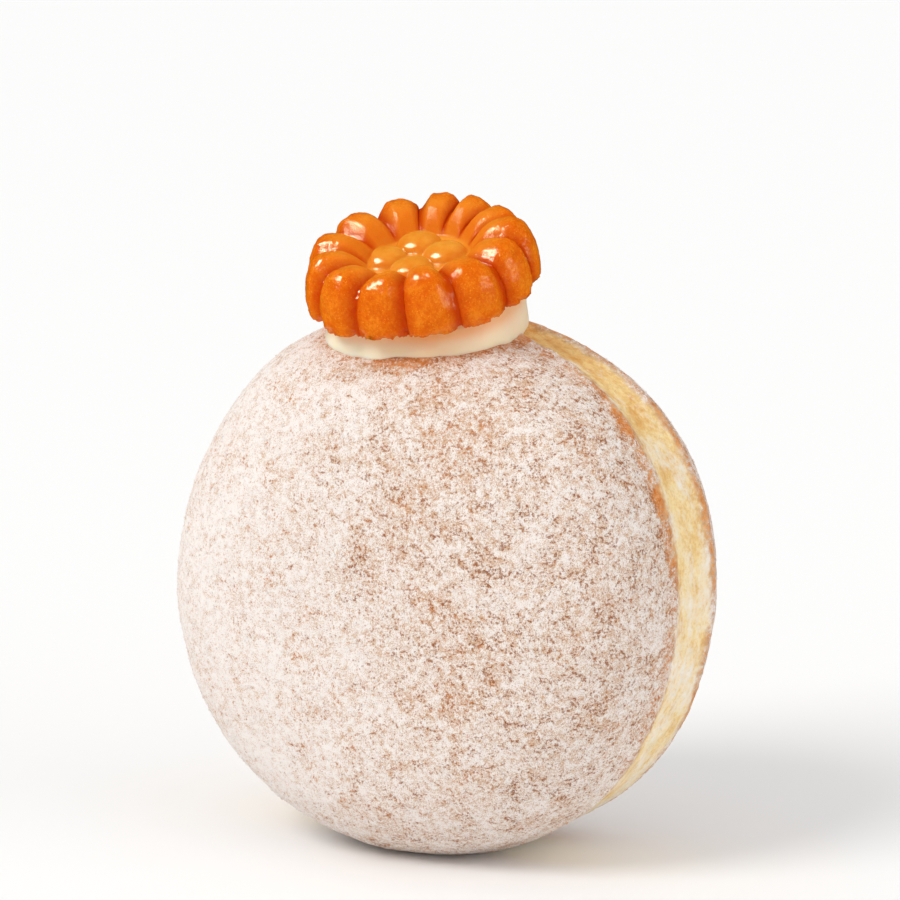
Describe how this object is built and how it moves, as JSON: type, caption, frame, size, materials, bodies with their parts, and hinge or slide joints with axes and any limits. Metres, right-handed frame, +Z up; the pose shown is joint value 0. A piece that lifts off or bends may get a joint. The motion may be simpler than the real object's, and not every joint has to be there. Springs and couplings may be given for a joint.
{
  "type": "cream filled doughnut with flower biscuit",
  "caption": "Round filled doughnut standing on its rim, dusted with powdered sugar, with custard cream and a glazed flower-shaped biscuit on top.",
  "frame": {"origin": "middle of the small flat spot that the doughnut stands on", "axes": "+Z up through the cream and the biscuit, -Y out of the broad powdered face, +X to the right of that face"},
  "size_m": [0.084, 0.053, 0.1002],
  "materials": {
    "powdered_crust": "matte browned crust under powdered sugar, pale waist band",
    "custard_cream": "smooth, slightly moist custard cream",
    "amber_glaze": "glossy syrup-soaked biscuit, amber"
  },
  "bodies": {
    "root": {"dough": "powdered_crust", "cream": "custard_cream", "flower_biscuit": "amber_glaze"}
  },
  "joints": []
}
